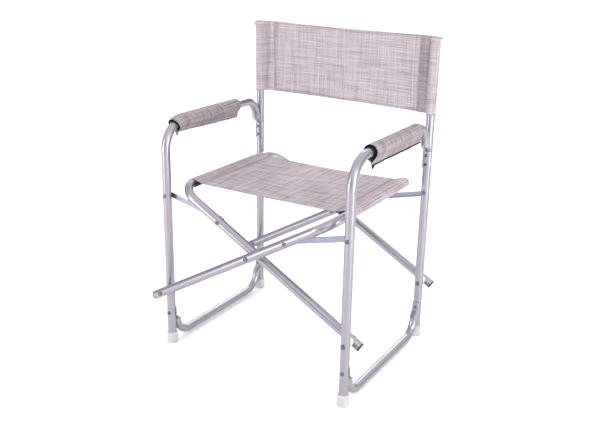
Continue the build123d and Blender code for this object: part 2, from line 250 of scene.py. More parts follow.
class Graph:
    """The node tree of one material."""

    def __init__(self, name):
        self.material = bpy.data.materials.new(name)
        self.material.use_nodes = True
        self.tree = self.material.node_tree
        self.tree.nodes.clear()

    def node(self, kind, settings=None, inputs=None, output=0):
        """Adds a node, sets it up, fills its sockets and returns one output."""
        made = self.tree.nodes.new(kind)
        for name, value in (settings or {}).items():
            setattr(made, name, value)
        for key, value in (inputs or {}).items():
            if isinstance(value, Wire):
                self.tree.links.new(value.socket, made.inputs[key])
            else:
                made.inputs[key].default_value = value
        return Wire(self, made.outputs[output]) if made.outputs else None

    def place(self, source="Object", scale=(1, 1, 1), turn=(0, 0, 0), shift=(0, 0, 0)):
        """Coordinates on the piece, turned and scaled."""
        found = self.node("ShaderNodeTexCoord", {}, {}, source)
        return self.node("ShaderNodeMapping", {"vector_type": "POINT"}, {
            "Vector": found, "Location": shift, "Rotation": turn, "Scale": scale})

    def parts(self, source="Object"):
        """The first two coordinates on the piece, in metres."""
        where = self.node("ShaderNodeTexCoord", {}, {}, source)
        return tuple(self.node("ShaderNodeSeparateXYZ", {}, {0: where}, axis) for axis in (0, 1))

    def cloud(self, where, detail=2.0, rough=0.5):
        """Smooth noise from 0 to 1."""
        return self.node("ShaderNodeTexNoise", {"noise_dimensions": "3D"}, {
            "Vector": where, "Scale": 1.0, "Detail": detail, "Roughness": rough})

    def mix(self, share, first, second, how="MIX"):
        """Two colours mixed by a share, or joined another way, such as multiplied."""
        return self.node("ShaderNodeMix", {"data_type": "RGBA", "blend_type": how}, {
            0: share, 6: first, 7: second}, 2)

    def spread(self, value, low, high, to_low=0.0, to_high=1.0):
        """A value stretched from one range to another, and held inside it."""
        return self.node("ShaderNodeMapRange", {"clamp": True}, {
            0: value, 1: low, 2: high, 3: to_low, 4: to_high})

    def finish(self, surface, height=None, relief=0.3, depth=0.001):
        """The shader itself: plain numbers and varying sockets on a Principled BSDF."""
        inputs = dict(surface)
        if height is not None:
            inputs["Normal"] = self.node("ShaderNodeBump", {}, {
                "Strength": relief, "Distance": depth, "Height": height})
        shader = self.node("ShaderNodeBsdfPrincipled", {}, inputs)
        self.node("ShaderNodeOutputMaterial", {}, {"Surface": shader})
        return self.material


def rgba(colour, share=1.0):
    return tuple(min(1.0, c * share) for c in colour) + (1.0,)


def tube_finish(name, grains):
    """Drawn aluminium tube. Each grain is the turn that lays the drawing lines along one run."""
    g = Graph(name)
    lines = None
    for turn in grains:
        fine = g.cloud(g.place(turn=turn, scale=(900, 900, 6)), detail=1.0)
        lines = fine if lines is None else (lines + fine) * 0.5
    smudge = g.cloud(g.place(scale=(16, 16, 16)), detail=4.0, rough=0.6)
    speck = g.cloud(g.place(scale=(420, 420, 420), shift=(3, 1, 7)), detail=2.0)
    wear = g.spread(speck * smudge, 0.36, 0.48)
    tone = g.spread(lines, 0.3, 0.7)
    colour = g.mix(tone, rgba(colours().metal, 0.93), rgba(colours().metal, 1.05))
    colour = g.mix(wear * 0.35, colour, rgba(colours().metal, 0.62))
    return g.finish({
        "Base Color": colour, "Metallic": 1.0,
        "Roughness": 0.24 + 0.16 * smudge + 0.08 * tone + 0.1 * wear,
        "Coat Weight": 0.12, "Coat Roughness": 0.3,
    }, height=lines, relief=0.03, depth=0.0002)


def zinc_finish():
    """Zinc plate with its faint spangle."""
    g = Graph("zinc_plate")
    cells = g.node("ShaderNodeTexVoronoi", {"feature": "F1"}, {"Vector": g.place(), "Scale": 330.0}, "Color")
    tone = g.node("ShaderNodeSeparateColor", {}, {0: cells}, 0)
    streak = g.cloud(g.place(scale=(60, 60, 60)), detail=5.0, rough=0.65)
    colour = g.mix(tone * 0.6 + streak * 0.4, rgba(colours().zinc, 0.82), rgba(colours().zinc, 1.25))
    return g.finish({
        "Base Color": colour, "Metallic": 1.0, "Roughness": 0.22 + 0.14 * streak + 0.06 * tone,
    }, height=streak, relief=0.08, depth=0.0003)


def rivet_finish():
    """Set rivet heads: dark and glossy, with small tool marks."""
    g = Graph("rivet_heads")
    marks = g.cloud(g.place(scale=(500, 500, 500)), detail=4.0, rough=0.7)
    dirt = g.spread(g.cloud(g.place(scale=(120, 120, 120), shift=(5, 5, 5)), detail=3.0), 0.45, 0.7)
    colour = g.mix(dirt * 0.5, rgba(colours().rivet), rgba(colours().rivet, 0.5))
    return g.finish({
        "Base Color": colour, "Metallic": 1.0, "Roughness": 0.10 + 0.12 * marks,
    }, height=marks, relief=0.15, depth=0.0002)


def moulded(name, colour, rough, grain, gloss=0.0, dust=0.0, soft=0.0):
    """Moulded plastic with a fine spark texture, and dust near the floor."""
    g = Graph(name)
    spark = g.cloud(g.place(scale=(grain, grain, grain)), detail=3.0, rough=0.6)
    drift = g.cloud(g.place(scale=(38, 38, 38), shift=(2, 9, 4)), detail=4.0)
    mixed = g.mix(g.spread(drift, 0.35, 0.7), rgba(colour), rgba(colour, 0.9))
    height = g.node("ShaderNodeSeparateXYZ", {}, {0: g.place()}, 2)
    low = g.spread(height, 0.0, 0.02, 1.0, 0.0)
    mixed = g.mix(low * drift * dust, mixed, rgba((0.42, 0.38, 0.33)))
    return g.finish({
        "Base Color": mixed, "Roughness": rough + 0.12 * spark + 0.1 * drift,
        "Coat Weight": gloss, "Coat Roughness": 0.25,
        "Subsurface Weight": soft, "Subsurface Radius": (0.006, 0.006, 0.005), "Subsurface Scale": 1.0,
    }, height=spark, relief=0.12, depth=0.0003)


def foam_finish():
    """Black closed-cell foam."""
    g = Graph("black_foam")
    cells = g.node("ShaderNodeTexVoronoi", {"feature": "F1"}, {"Vector": g.place(), "Scale": 900.0}, 0)
    drift = g.cloud(g.place(scale=(80, 80, 80)), detail=3.0)
    colour = g.mix(drift, rgba(colours().foam), rgba(colours().foam, 2.0))
    return g.finish({
        "Base Color": colour, "Roughness": 0.88 + 0.1 * drift, "Specular IOR Level": 0.12,
    }, height=cells, relief=0.5, depth=0.0006)


def cloth_finish(name, tint, contrast):
    """Open mesh cloth woven from mottled yarns, with streaks both ways and holes between the yarns.

    The cloth's own coordinates are in metres: U across the chair and V along the piece.
    """
    g = Graph(name)
    pitch = sizes().yarn
    across, along = g.parts("UV")

    def streaks(fine, long, seed):
        """Tone of the yarns that run one way: each its own, and changing along its length."""
        found = []
        for size, turn, shift in ((fine, 0.42, (seed, seed, seed)), (long, 0.31, (seed, 3, seed))):
            where = g.place("UV", scale=(1 / size[0], 1 / size[1], 1), turn=(0, 0, turn), shift=shift)
            found.append(g.cloud(where, detail=1.0))
        thin, wide = found
        return thin * 0.82 + wide * 0.18

    down = streaks((0.0021, 0.160), (0.0036, 0.090), 1.0)
    over = streaks((0.110, 0.0021), (0.070, 0.0036), 8.0)
    wave_u = (across * (math.pi / pitch)).of("SINE").of("ABSOLUTE")
    wave_v = (along * (math.pi / pitch)).of("SINE").of("ABSOLUTE")
    on_top = ((across / pitch).of("FLOOR") + (along / pitch).of("FLOOR")) % 2.0 > 0.5
    weave = wave_u * (0.55 + 0.45 * wave_v) * on_top + wave_v * (0.55 + 0.45 * wave_u) * (1.0 - on_top)
    edge = math.sin(math.pi / 2 * sizes().open_weave)
    hole = (wave_u < edge) * (wave_v < edge)
    woven = down * on_top + over * (1.0 - on_top)
    mottle = woven * 0.16 + down * 0.40 + over * 0.44
    mid_tone, reach = 0.485, 0.125 / contrast
    tone = g.spread(mottle, mid_tone - reach, mid_tone + reach)
    colour = g.mix(tone, rgba(colours().cloth_dark, tint), rgba(colours().cloth_light, tint))
    # The shade attribute is painted shade and painted light, multiplied into the yarn colour.
    shade = g.node("ShaderNodeAttribute", {"attribute_name": "shade"}, {}, 0)
    colour = g.mix(1.0, colour, shade, "MULTIPLY")
    return g.finish({
        "Base Color": colour, "Roughness": 0.74 + 0.12 * (1.0 - weave), "Sheen Weight": 0.12,
        "Sheen Roughness": 0.5, "Specular IOR Level": 0.35, "Alpha": 1.0 - hole,
    }, height=weave, relief=0.35, depth=0.0004)


def thread_finish():
    """Sewing thread, twisted."""
    g = Graph("sewing_thread")
    twist = g.cloud(g.place(scale=(1500, 1500, 1500)), detail=2.0)
    colour = g.mix(twist, rgba(colours().cloth_dark, 1.3), rgba(colours().cloth_light, 0.85))
    surface = {"Base Color": colour, "Roughness": 0.6 + 0.2 * twist}
    return g.finish(surface, height=twist, relief=0.3, depth=0.0003)


# ---- Meshes -----------------------------------------------------------------
def new_piece(name, verts, faces, uvs=None, smooth=True):
    """A mesh object from points, faces and one UV per point."""
    mesh = bpy.data.meshes.new(name)
    mesh.from_pydata([tuple(v) for v in verts], [], faces)
    mesh.update()
    if uvs is not None:
        layer = mesh.uv_layers.new(name="cloth")
        index = np.zeros(len(mesh.loops), int)
        mesh.loops.foreach_get("vertex_index", index)
        layer.data.foreach_set("uv", np.asarray(uvs, float)[index].ravel())
    mesh.polygons.foreach_set("use_smooth", [smooth] * len(mesh.polygons))
    made = bpy.data.objects.new(name, mesh)
    bpy.context.scene.collection.objects.link(made)
    return made


def keep_modifiers(piece):
    """Applies every modifier of a piece to its mesh."""
    graph = bpy.context.evaluated_depsgraph_get()
    graph.update()
    mesh = bpy.data.meshes.new_from_object(piece.evaluated_get(graph))
    old = piece.data
    piece.modifiers.clear()
    piece.data = mesh
    bpy.data.meshes.remove(old)
    return piece


def thicken(piece, thickness):
    """Gives a surface its thickness, half to each side."""
    solid = piece.modifiers.new("thickness", "SOLIDIFY")
    solid.thickness = thickness
    solid.offset = 0
    return keep_modifiers(piece)


def grid_faces(rows, columns, closed=False):
    """Quads over a grid of points; closed joins the last column to the first."""
    faces = []
    for r in range(rows - 1):
        for c in range(columns if closed else columns - 1):
            d = (c + 1) % columns
            faces.append((r * columns + c, r * columns + d, (r + 1) * columns + d, (r + 1) * columns + c))
    return faces


def edge_steps(length, count, hem):
    """Distances along a piece of cloth, close together in the hems at its two ends."""
    edge = 0.0012
    inner = np.linspace(hem, length - hem, count)
    return np.concatenate([[0, edge, hem / 2], inner, [length - hem / 2, length - edge, length]])


def cloth_strip(name, points, thickness, material, shade=None):
    """A sheet from a grid of points, rows by columns, with UVs that measure the cloth in metres.

    Shade is painted shade and painted light, multiplied into the cloth's colour point by point: darker where
    the cloth is doubled or sewn at a seam, lighter over a tube.
    """
    points = np.asarray(points, float)
    rows, columns = points.shape[:2]
    across = np.zeros((rows, columns))
    along = np.zeros((rows, columns))
    across[1:] = np.cumsum(np.linalg.norm(np.diff(points, axis=0), axis=2), axis=0)
    along[:, 1:] = np.cumsum(np.linalg.norm(np.diff(points, axis=1), axis=2), axis=1)
    across -= across[rows // 2]
    uvs = np.stack([across, along], 2).reshape(-1, 2)
    piece = new_piece(name, points.reshape(-1, 3), grid_faces(rows, columns), uvs)
    values = np.ones((rows, columns)) if shade is None else np.broadcast_to(shade, (rows, columns))
    attribute = piece.data.attributes.new("shade", "FLOAT", "POINT")
    attribute.data.foreach_set("value", np.ascontiguousarray(values, np.float32).ravel())
    piece.data.materials.append(material)
    return thicken(piece, thickness)


def hems(name, grid, rows, away, material, thread):
    """Turned hems at both ends of a sheet's columns: a second layer of cloth, and a row of stitches."""
    s = sizes()
    made = []
    for end, columns in (("first", slice(0, HEM_COLUMNS)), ("last", slice(-HEM_COLUMNS, None))):
        layer = grid[rows, columns] + np.array(away) * (s.cloth * 1.15)
        made.append(cloth_strip(f"{name}_hem_{end}", layer, s.cloth, material))
        column = HEM_COLUMNS - 2 if end == "first" else 1 - HEM_COLUMNS
        line = [(Vector(p) - Vector(away) * (s.cloth / 2), -Vector(away)) for p in grid[rows, column]]
        made.append(stitches(f"{name}_hem_stitches_{end}", line, s.stitch, 0.0008, 0.0004, thread))
    return made


def sleeve_line(radius, reach, rise, steps):
    """A teardrop round a tube: from its point at (reach, rise), round the tube and back to the point.

    The tube's axis is the origin and the point is on the +X side. The line starts under the tube.
    """
    tip = np.array([reach, rise])
    away = np.linalg.norm(tip)
    lean = math.atan2(rise, reach)
    half = math.acos(radius / away)
    first, last = lean - half, lean + half
    straight = max(4, steps // 4)
    start = radius * np.array([math.cos(first), math.sin(first)])
    end = radius * np.array([math.cos(last), math.sin(last)])
    lead = [tip + (start - tip) * t for t in np.linspace(0, 1, straight, endpoint=False)]
    angles = np.linspace(first, last - 2 * math.pi, steps)
    around = [radius * np.array([math.cos(a), math.sin(a)]) for a in angles]
    tail = [end + (tip - end) * t for t in np.linspace(0, 1, straight)][1:]
    return np.array(lead + around + tail)


def stitches(name, line, length, width, lift, material):
    """A row of raised stitches along a line of points with normals: [(point, normal)]."""
    points = [Vector(p) for p, _ in line]
    normals = [Vector(n) for _, n in line]
    ends = np.cumsum([0] + [(b - a).length for a, b in zip(points, points[1:])])
    count = int(ends[-1] / length)
    verts, faces = [], []

    def at(distance):
        spot = min(max(np.searchsorted(ends, distance) - 1, 0), len(points) - 2)
        share = (distance - ends[spot]) / max(ends[spot + 1] - ends[spot], 1e-9)
        place = points[spot].lerp(points[spot + 1], share)
        return place, normals[spot], (points[spot + 1] - points[spot]).normalized()

    for k in range(count):
        base = len(verts)
        rings = 5
        for r in range(rings):
            share = r / (rings - 1)
            place, normal, run = at((k + 0.14 + 0.72 * share) * length)
            side = run.cross(normal).normalized()
            bulge = math.sin(math.pi * min(max(share, 0.04), 0.96))
            centre = place + normal * (lift * (bulge - 0.35))
            for a in range(6):
                turn = a * math.pi / 3
                size = width / 2 * (0.45 + 0.55 * bulge)
                verts.append(centre + side * math.cos(turn) * size + normal * math.sin(turn) * size)
        faces += [tuple(base + v for v in f) for f in grid_faces(rings, 6, closed=True)]
        faces.append(tuple(base + a for a in range(6)))
        faces.append(tuple(base + (rings - 1) * 6 + a for a in reversed(range(6))))
    piece = new_piece(name, verts, faces)
    piece.data.materials.append(material)
    return piece


def ripple(x, y, size, seed):
    """Smooth signed noise for small hand-made unevenness."""
    return noise.noise(Vector((x / size, y / size, seed)))


# ---- Seat -------------------------------------------------------------------
def seat_points():
    """The seat cloth as a grid: rows run across the chair, columns from front to rear."""
    s = sizes()
    left, tube = rail("left")
    right, _ = rail("right")
    play, rise, sag_depth = 0.0006, 0.004, 0.0028
    radius = tube + play + s.cloth / 2
    drop = sleeve_line(radius, s.seat_seam, rise, 26)
    left_line = [(left.x + p[0], left.z + p[1]) for p in drop]
    right_line = [(right.x - p[0], right.z + p[1]) for p in drop][::-1]
    start, end = np.array(left_line[-1]), np.array(right_line[0])
    flat = [start + (end - start) * t for t in np.linspace(0, 1, 73)][1:-1]
    line = np.array(left_line + [tuple(p) for p in flat] + right_line)
    half_span = abs(start[0])
    steps = edge_steps(s.seat_front + s.seat_rear, 55, s.hem)
    grid = np.zeros((len(line), len(steps), 3))
    for r, (x, z) in enumerate(line):
        share = np.clip(x / half_span, -1, 1)
        middle_share = 1 - share * share
        pull = 0.0035 * middle_share
        shift = -0.002 * share
        front = -s.seat_front + pull + shift
        stretch = 1 - 2 * pull / steps[-1]
        for c, step in enumerate(steps):
            t = step / steps[-1]
            y = front + step * stretch
            sag = 0.0
            if abs(x) < half_span - 1e-6:
                sag = -sag_depth * middle_share * (0.8 + 0.2 * math.sin(math.pi * t))
                sag += 0.0008 * ripple(x, y, 0.05, 3.0) * (1 - share ** 4)
            grid[r, c] = (x, y, z + sag)
    return grid


def seat_shade(grid, left, right):
    """Painted shade on the seat: darker where it is doubled in its sleeves, a dark line on each seam, and a
    darker band that fades out on the sheet beside it.
    """
    seam = sizes().seat_seam
    shade = np.ones(grid.shape[:2])
    x = grid[:, grid.shape[1] // 2, 0]
    from_left, from_right = x - (left.x + seam), (right.x - seam) - x
    # Painted shade: the sleeves are darker than the sheet, and each seam gets a dark line and a fading band.
    shade[(from_left < 0) & (from_left > -seam - 0.013)] = 0.90
    shade[(from_right < 0) & (from_right > -seam + 0.004)] = 0.93
    for distance in (from_left, from_right):
        shade[np.abs(distance) < 0.0016] = 0.58
        near = (distance >= 0.0016) & (distance < 0.010)
        shade[near] = 0.86 + 0.14 * (distance[near, None] / 0.010)
    return shade


class CHAIR_OT_seat(bpy.types.Operator):
    """Sew the seat: one cloth with a sleeve round each rail, hems and stitching"""
    bl_idname = "camp_chair.seat"
    bl_label = "Seat Canvas"

    def execute(self, context):
        s = sizes()
        left, _ = rail("left")
        right, _ = rail("right")
        grid = seat_points()
        cloth = cloth_finish("seat_cloth", 0.81, 2.0)
        thread = thread_finish()
        seat = cloth_strip("seat_cloth", grid, s.cloth, cloth, seat_shade(grid, left, right))
        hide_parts("seat_canvas")
        rows = {side: self.seam_row(grid, x, side) for side, x in (
            ("left", left.x + s.seat_seam), ("right", right.x - s.seat_seam))}
        sleeve_slope = 0.28
        sewn = hems("seat", grid, slice(rows["left"], rows["right"] + 1), (0, 0, -1), cloth, thread)
        for side, inward in (("left", 1), ("right", -1)):
            for name, offset in (("outer", -0.0045), ("inner", 0.0030)):
                line = []
                for point in grid[rows[side], 1:-1]:
                    slope = sleeve_slope * max(0.0, -offset)
                    place = Vector(point) + Vector((offset * inward, 0, slope + s.cloth / 2 + 0.0001))
                    line.append((place, Vector((0, 0, 1))))
                sewn.append(stitches(f"seat_seam_{side}_{name}", line, s.stitch, 0.0009, 0.0005, thread))
        for piece in [seat] + sewn:
            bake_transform(piece)
        return {"FINISHED"}

    @staticmethod
    def seam_row(grid, x, side):
        """The row of the sheet's upper layer that lies on a seam."""
        half, sleeve = grid.shape[0] // 2, 30
        rows = range(sleeve, half) if side == "left" else range(half, grid.shape[0] - sleeve)
        return min(rows, key=lambda r: abs(grid[r, grid.shape[1] // 2, 0] - x))


# ---- Back -------------------------------------------------------------------
class CHAIR_OT_back(bpy.types.Operator):
    """Sew the back: a stretched sheet with a sleeve round each upright"""
    bl_idname = "camp_chair.back"
    bl_label = "Back Canvas"

    def execute(self, context):
        s = sizes()
        low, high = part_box("back_canvas")
        bottom, top = low.z, high.z
        cloth = cloth_finish("back_cloth", 0.81, 1.0)
        thread = bpy.data.materials.get("sewing_thread") or thread_finish()
        axes = {side: upright(side) for side in SIDES}
        run = (axes["right"][0] - axes["left"][0]).normalized()
        facing = Vector((run.y, -run.x, 0))
        tips = {}
        for side, sign in SIDES.items():
            axis, tube = axes[side]
            piece, tip, width = self.sleeve(side, sign, axis, tube, run, bottom, top, cloth)
            tips[side] = tip
            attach(piece, f"{side}_side_frame")
            for k, offset in enumerate((0.003, 0.009)):
                base = Vector(tip) + run * (sign * offset)
                line = [(base + facing * (s.cloth + 0.0002) + Vector((0, 0, z)), facing)
                        for z in np.linspace(bottom + 0.004, top - 0.004, 60)]
                seam = stitches(f"back_seam_{side}_{k + 1}", line, s.stitch, 0.0009, 0.0005, thread)
                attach(seam, f"{side}_side_frame")
        proud = 0.0030
        grid, shade = self.panel(tips, run, bottom, top + proud)
        panel = cloth_strip("back_panel", grid, s.cloth, cloth, shade)
        sewn = hems("back", grid, slice(1, grid.shape[0] - 1), -facing, cloth, thread)
        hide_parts("back_canvas")
        for piece in [panel] + sewn:
            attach(piece, "right_side_frame")
            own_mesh(piece)
        return {"FINISHED"}

    @staticmethod
    def folded_gap(tips, fold_angle):
        """How much of the panel's width is left when the side frames have closed."""
        lower = joint_point("fold")
        centre = joint_point("centre_pivot")
        reach = math.hypot(lower.x - centre.x, centre.z - lower.z)
        folded = math.asin((lower.x - centre.x) / reach) - math.radians(fold_angle)
        closing = 2 * (lower.x - reach * math.sin(folded))
        open_gap = tips["right"][0] - tips["left"][0]
        return (open_gap - closing) / open_gap

    def sleeve(self, side, sign, axis, tube, run, bottom, top, cloth):
        """One sleeve: a loop round its upright, with its doubled edge lying flat behind the tube.

        The edge lies behind to leave room for the seat frames when the chair folds. The top is sewn
        shut over the upright's end and is wider than the tube, so its outer corner stands out as an ear.
        """
        s = sizes()
        radius = tube + 0.0007 + s.cloth / 2
        near = radius + 0.0028
        behind = -(radius + (0.0037 if side == "left" else 0.0006))
        gather, flare, droop, ear_bend = 0.87, 0.017, 0.003, 0.003
        drop = sleeve_line(radius, near, behind, 34)
        lap = np.linspace(s.back_seam, near, 8)[:-1]
        under = [(u, behind) for u in lap]
        over = [(u, behind + s.cloth * 1.2) for u in lap[::-1]]
        outline = np.array(under + [tuple(p) for p in drop] + over)
        lengths = np.concatenate([[0], np.cumsum(np.linalg.norm(np.diff(outline, axis=0), axis=1))])
        facing = Vector((run.y, -run.x, 0))
        inward = run * -sign
        half = lengths[-1] / 2
        plug_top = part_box(f"{side}_upright_plug")[1].z
        shut = max(top + 0.0008, plug_top + 0.0035)
        closing, selvedge = shut - plug_top - 0.0005, 0.0020
        levels = list(np.linspace(bottom, shut - closing, 44))
        levels += [shut - closing * math.cos(a) for a in np.linspace(0.12, math.pi / 2, 12)]
        levels += [shut + selvedge / 2, shut + selvedge]
        grid = np.zeros((len(outline), len(levels), 3))
        for r, (u, v) in enumerate(outline):
            flat_u = s.back_seam - min(lengths[r], lengths[-1] - lengths[r]) * gather
            from_ear = half - lengths[r]
            apart = math.copysign(min(1.0, abs(from_ear) / ear_bend) * s.cloth * 0.6, from_ear)
            back = min(1.0, max(0.3, (flat_u + radius) / (near + radius)))
            flat_v = behind * back - apart + s.cloth * 0.6
            for c, z in enumerate(levels):
                rise = min(1.0, max(0.0, (z - shut + closing) / closing))
                flat = 1 - math.sqrt(max(0.0, 1 - rise * rise))
                tip_share = min(1.0, max(0.0, (near - u) / 0.006))
                loose = 1 + 0.05 * tip_share * ripple(z, r * 0.002, 0.05, 5.0 + sign)
                wide = min(1.0, max(0.0, (z - shut + flare) / flare)) ** 1.6
                early = wide * min(1.0, max(0.0, 0.3 - u / radius))
                share = max(early, flat)
                across = u * (1 - share) + flat_u * share
                deep = v * loose * (1 - flat) + flat_v * flat
                ear = max(0.0, (-across - radius) / (half - s.back_seam - radius + 1e-9))
                place = axis + inward * across + facing * deep
                grid[r, c] = (place.x, place.y, z - droop * ear * ear * wide)
        # Painted light and shade: a lighter strip over the tube, a band beside it painted darker on the right
        # sleeve and lighter on the left, and a dark line at the seam.
        u_line = outline[:, 0]
        beside = 0.90 if side == "right" else 1.19
        places = [-radius, radius * 0.7, radius * 1.25, s.back_seam - 0.004, s.back_seam - 0.0015]
        shade = np.interp(u_line, places, [1.11, 1.12, beside, beside, 0.78])
        piece = cloth_strip(f"back_sleeve_{side}", grid, s.cloth, cloth, shade[:, None])
        tip = axis + inward * s.back_seam + facing * (behind + s.cloth * 1.5)
        return piece, (tip.x, tip.y, 0.0), float(lengths[-1])

    @staticmethod
    def panel(tips, run, bottom, top):
        """The sheet between the two seams, as a grid of points and its shade."""
        s = sizes()
        left, right = Vector(tips["left"]), Vector(tips["right"])
        overlap = 0.010
        start = left - run * overlap
        span = (right - left).length + 2 * overlap
        facing = Vector((run.y, -run.x, 0))
        rows = 97
        steps = edge_steps(top - bottom, 43, s.hem)
        grid = np.zeros((rows, len(steps), 3))
        shade = np.ones((rows, len(steps)))
        for r in range(rows):
            share = r / (rows - 1)
            side_share = 2 * share - 1
            pull = 0.0022 * (1 - side_share * side_share)
            from_seam = min(share, 1 - share) * span - overlap
            for c, step in enumerate(steps):
                t = step / steps[-1]
                z = bottom + pull + step * (1 - 2 * pull / steps[-1])
                belly = -0.004 * (1 - side_share * side_share) * math.sin(math.pi * t)
                wave = 0.0007 * ripple(share * span, z, 0.07, 11.0) * (1 - side_share ** 6)
                place = start + run * (span * share) + facing * (belly + wave + s.cloth)
                grid[r, c] = (place.x, place.y, z)
                # Painted shade: the panel is darker where it overlaps a sleeve at a seam.
                shade[r, c] = 0.9 if from_seam < 0.001 else 1.0
        return grid, shade


# ---- Arms -------------------------------------------------------------------
class CHAIR_OT_arms(bpy.types.Operator):
    """Wrap the arms: foam on the tube, and a cloth cover with its edges joined underneath"""
    bl_idname = "camp_chair.arms"
    bl_label = "Arm Pads"

    def execute(self, context):
        cloth = cloth_finish("arm_cloth", 0.59, 2.2)
        foam_skin = foam_finish()
        thread = bpy.data.materials.get("sewing_thread") or thread_finish()
        for side, sign in SIDES.items():
            foam = self.foam(side, foam_skin)
            cover, seams, edging = self.cover(side, sign, cloth, foam_skin, thread)
            slots = [(foam, "foam"), (cover, "canvas"), (edging, "foam")] + [(x, "canvas") for x in seams]
            for piece, slot in slots:
                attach(piece, f"{side}_side_frame")
            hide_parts(f"{side}_arm_foam")
            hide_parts(f"{side}_arm_cover")
        return {"FINISHED"}

    @staticmethod
    def path(side, rear_trim=0.0):
        """Places along the arm, front to rear: (centre, up, distance from front, distance from rear)."""
        s = sizes()
        low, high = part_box(f"{side}_arm_foam")
        x, axis_z = (low.x + high.x) / 2, high.z - (high.x - low.x) / 2
        front = -(s.pad_front_right if side == "right" else s.pad_front_left)
        bend_y = middle(f"{side}_front_foot").y + s.arm_bend
        rear = high.y - rear_trim
        turn = math.asin((bend_y - front) / s.arm_bend) if front < bend_y else 0.0
        arc = turn * s.arm_bend
        straight = rear - max(front, bend_y)
        total = arc + straight
        steps = 74
        found = []
        for k in range(steps + 1):
            t = 0.5 - 0.5 * math.cos(math.pi * k / steps)
            travel = total * (0.35 * t + 0.65 * k / steps)
            if travel < arc:
                a = (arc - travel) / s.arm_bend
                y, drop = bend_y - s.arm_bend * math.sin(a), s.arm_bend * (1 - math.cos(a))
                centre = Vector((x, y, axis_z - drop))
                up = Vector((0, -math.sin(a), math.cos(a)))
            else:
                centre = Vector((x, max(front, bend_y) + travel - arc, axis_z))
                up = Vector((0, 0, 1))
            found.append((centre, up, travel, total - travel))
        return found

    def foam(self, side, skin):
        """A C of foam on the tube, open underneath, with rounded ends."""
        s = sizes()
        tube = upright(side)[1]
        inner, outer = tube + 0.0002, tube + s.foam_wall
        gap = math.radians(26)
        steps = 40
        round_it = np.linspace(gap / 2, 2 * math.pi - gap / 2, steps) - math.pi / 2
        section = [(outer, a) for a in round_it] + [(inner, a) for a in round_it[::-1]]
        verts = []
        path = self.path(side, rear_trim=0.005)
        for centre, up, before, after in path:
            edge = min(1.0, min(before, after) / 0.0016)
            shrink = 0.0015 * (1 - math.sqrt(max(0.0, 1 - (1 - edge) ** 2)))
            for radius, a in section:
                size = radius - shrink if radius == outer else radius
                verts.append(centre + Vector((math.cos(a) * size, 0, 0)) + up * (math.sin(a) * size))
        count = len(section)
        faces = grid_faces(len(path), count, closed=True)
        last = (len(path) - 1) * count
        for k in range(steps - 1):
            faces.append((k, k + 1, count - 2 - k, count - 1 - k))
            faces.append((last + count - 1 - k, last + count - 2 - k, last + k + 1, last + k))
        piece = new_piece(f"arm_foam_{side}", verts, faces)
        piece.data.materials.append(skin)
        return piece

    def cover(self, side, sign, cloth, edging_skin, thread):
        """Cloth round the foam, with its edges joined below the arm and black edging between them.

        The joined edges lean out, the right ones more towards the rear and the left ones less.
        """
        s = sizes()
        tube = upright(side)[1]
        radius = tube + s.foam_wall + s.cloth / 2 + 0.0003
        half_gap, fin = 0.0009, 0.0030
        drop = sleeve_line(radius, s.pad_tip, 0.0, 56)
        first_lean, end_round = 9, 0.006
        twist, droop = (22, 0.0) if side == "right" else (-14, 0.006)
        side_way = half_gap if drop[2][1] > 0 else -half_gap
        outline = [(s.pad_tip + fin, side_way), (s.pad_tip + fin / 2, side_way), (s.pad_tip, side_way)]
        outline += [tuple(p) for p in drop[1:-1]]
        outline += [(s.pad_tip, -side_way), (s.pad_tip + fin / 2, -side_way), (s.pad_tip + fin, -side_way)]
        path = self.path(side)
        grid = np.zeros((len(outline), len(path), 3))
        for r, point in enumerate(outline):
            angle = math.atan2(point[1], point[0])
            on_fin = max(0.0, (point[0] - radius) / (s.pad_tip + fin - radius))
            for c, (centre, up, before, after) in enumerate(path):
                puff = 1 + 0.016 * ripple(before, angle * 0.012, 0.030, 2.0 + sign)
                puff += 0.010 * ripple(before, angle * 0.012, 0.011, 6.0 + sign)
                shoulder = max(0.0, 1 - after / end_round)
                closed = 1 - math.sqrt(max(0.0, 1 - shoulder ** 2))
                puff -= (0.16 - 0.08 * on_fin) * closed
                puff += 0.012 * max(0.0, 1 - before / end_round)
                sway = 0.0022 * ripple(before, 0.0, 0.045, 9.0 + sign) * on_fin
                rearward = before / (before + after)
                lean = math.radians(-90 + sign * (first_lean + twist * rearward))
                out = point[0] * puff + droop * rearward * on_fin
                aside = point[1] * (puff if on_fin < 0.4 else 1) + sway
                u = out * math.cos(lean) - aside * math.sin(lean)
                v = out * math.sin(lean) + aside * math.cos(lean)
                place = centre + Vector((u, 0, 0)) + up * v
                grid[r, c] = place
        piece = cloth_strip(f"arm_cover_{side}", grid, s.cloth, cloth)
        seams = []
        for row, name in ((1, "out"), (len(outline) - 2, "in")):
            other = len(outline) - 1 - row
            line = []
            for c in range(2, len(path) - 3):
                face = Vector(grid[row, c] - grid[other, c]).normalized()
                line.append((Vector(grid[row, c]) + face * (s.cloth / 2), face))
            seams.append(stitches(f"arm_seam_{side}_{name}", line, s.stitch, 0.0008, 0.0004, thread))
        hang = 0.0036 if side == "right" else 0.0006
        return piece, seams, self.edging(side, grid, path, hang, edging_skin)

